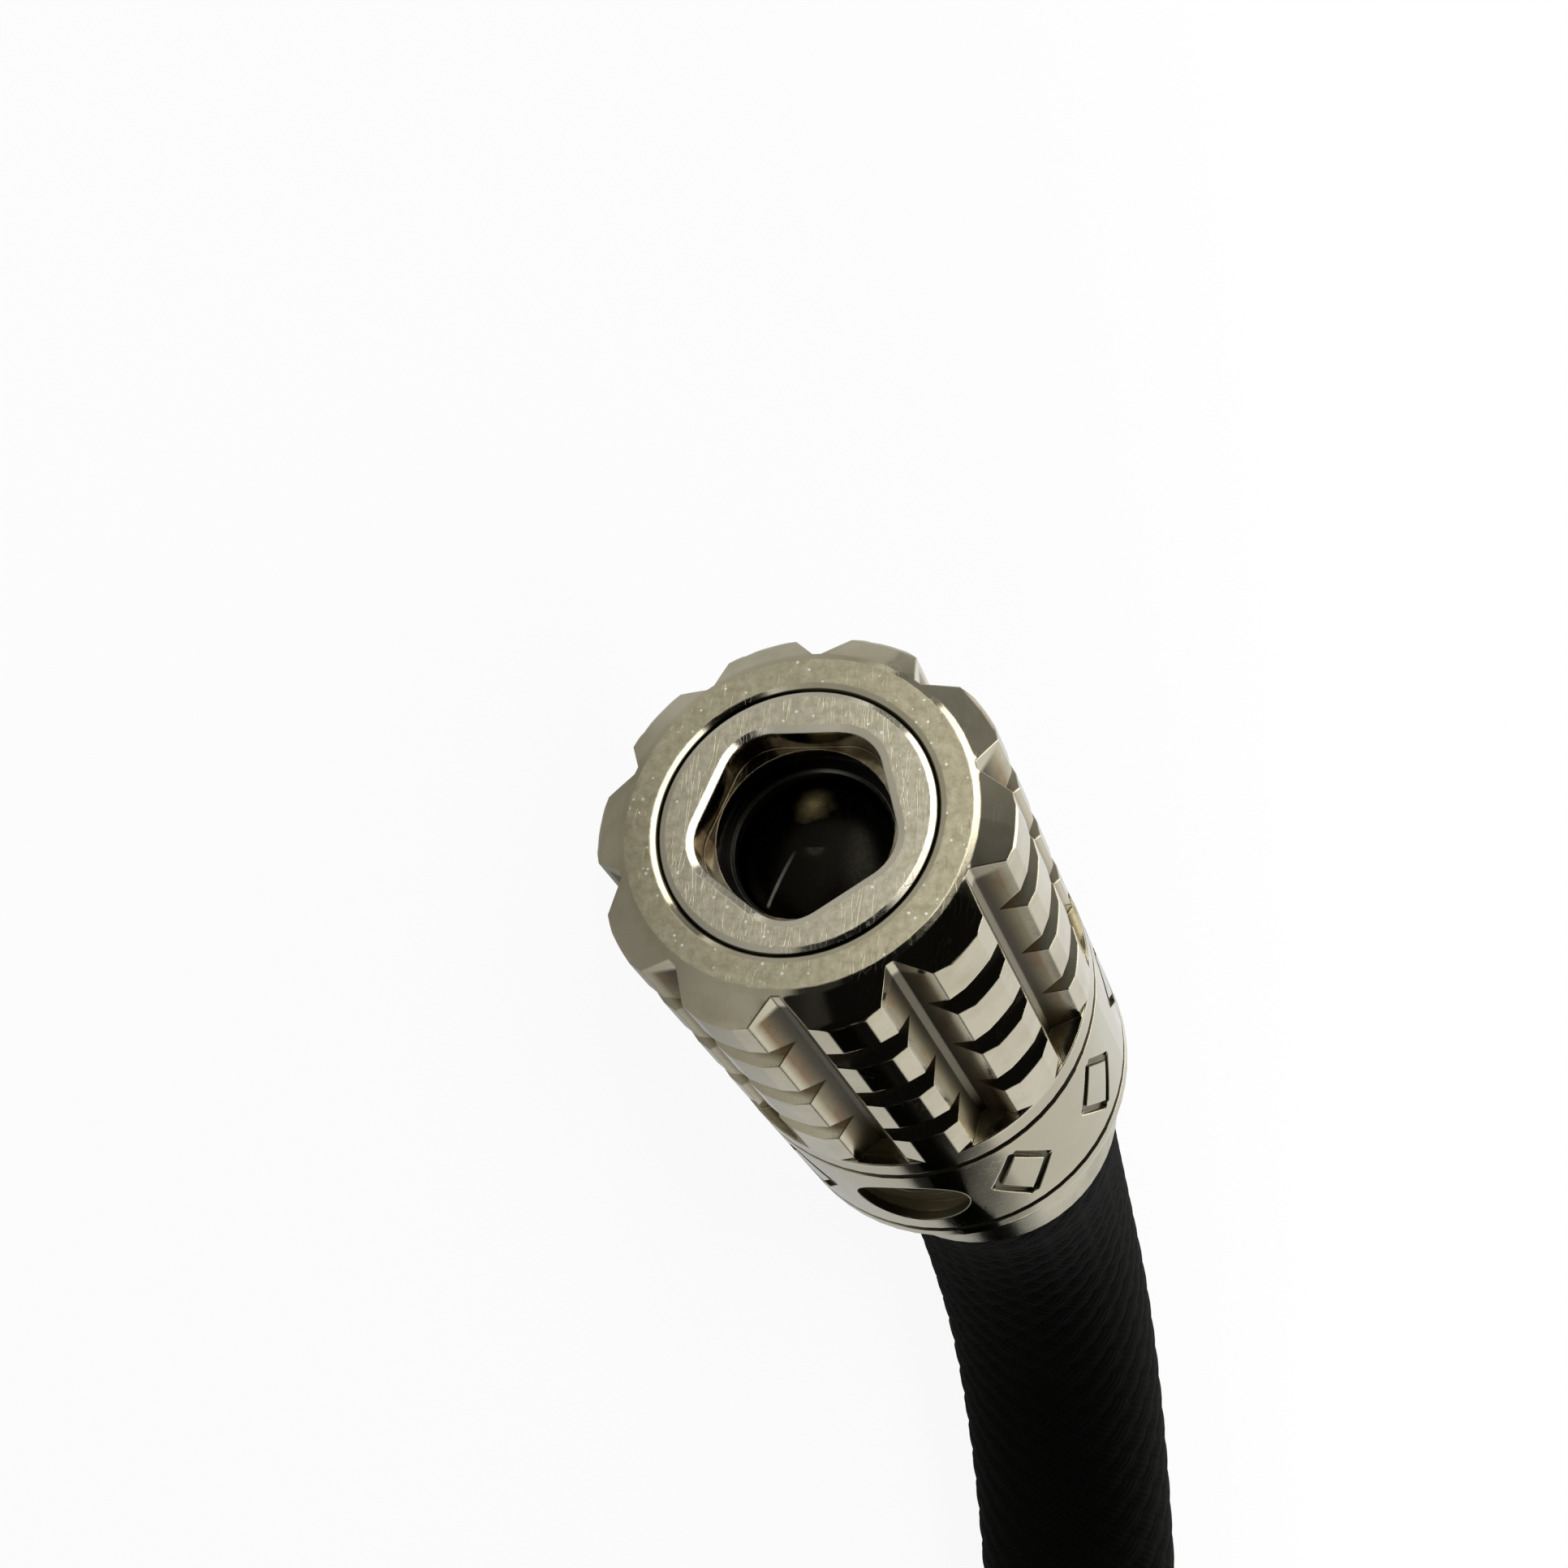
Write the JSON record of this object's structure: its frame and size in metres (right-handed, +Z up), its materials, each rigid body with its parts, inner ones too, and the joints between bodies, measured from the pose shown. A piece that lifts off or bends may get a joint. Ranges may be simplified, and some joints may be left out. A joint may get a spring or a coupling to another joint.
{
  "type": "cable shutter release",
  "caption": "Cable shutter release: a turning grip socket with a sliding pusher pin, a woven cable put away in a coil, and a hand end with a sprung button, finger rest and lock screw.",
  "frame": {"origin": "middle of the coupling's front face, on its axis, where a camera's shutter socket meets it", "axes": "-Y along the coupling's axis, out of its mouth towards the camera; +X along the hand end towards its button; +Z up from the table that the part lies on"},
  "size_m": [0.1114, 0.0892, 0.0134],
  "materials": {
    "coupling_nickel": "worn, slightly yellowed nickel plate with fine pits and scratches",
    "hand_nickel": "worn nickel plate, polished by handling",
    "screw_steel": "bright turned steel, tarnished",
    "wire_steel": "drawn steel",
    "tip_brass": "turned brass, burnished at the tip",
    "woven_cover": "black woven thread over a wound steel conduit",
    "washer_fibre": "red-brown vulcanised fibre"
  },
  "bodies": {
    "release": {"swivel_ferrule": "coupling_nickel", "pin_guide_bush": "tip_brass", "conduit_end_front": "wire_steel", "cable_lead": "woven_cover", "cable_coil": "woven_cover", "cable_tail": "woven_cover", "hand_ferrule": "hand_nickel", "conduit_end_rear": "wire_steel", "barrel": "hand_nickel", "barrel_cap": "hand_nickel", "finger_flange": "hand_nickel", "buffer_washer": "washer_fibre", "plunger_spring": "wire_steel"},
    "collar": {"grip_collar": "coupling_nickel", "mouth_ring": "coupling_nickel", "bore_retaining_ring": "wire_steel", "collar_screw": "screw_steel"},
    "pusher": {"pin_tip": "tip_brass", "pin_rod": "wire_steel", "core_wire_front": "wire_steel"},
    "plunger": {"plunger_rod": "wire_steel", "thumb_button": "hand_nickel", "plunger_piston": "tip_brass", "wire_clamp_screw": "screw_steel", "core_wire_rear": "wire_steel"},
    "lock_foot": {"lock_shoe": "tip_brass"},
    "lock_knob": {"lock_screw": "hand_nickel"}
  },
  "joints": [
    {"name": "collar_swivel", "type": "hinge", "parent": "release", "child": "collar", "pos_m": [0, 0, 0], "axis": [0, 1, 0], "continuous": true},
    {"name": "plunger_press", "type": "slide", "parent": "release", "child": "plunger", "axis": [-1, 0, 0], "range_m": [0, 0.005], "stiffness_N_per_m": 300, "deforming": ["plunger_spring"]},
    {"name": "pusher_travel", "type": "slide", "parent": "release", "child": "pusher", "axis": [0, -1, 0], "range_m": [0, 0.005]},
    {"name": "lock_feed", "type": "slide", "parent": "release", "child": "lock_foot", "axis": [0, 0, -1], "range_m": [0, 0.000375]},
    {"name": "lock_turn", "type": "hinge", "parent": "lock_foot", "child": "lock_knob", "pos_m": [0.0824, 0.063, 0.0012], "axis": [0, 0, -1], "range_deg": [0, 270]}
  ],
  "couplings": [
    {"joint": "pusher_travel", "follows": "plunger_press", "ratio": 1},
    {"joint": "lock_turn", "follows": "lock_feed", "rad_per_m": 12566}
  ]
}
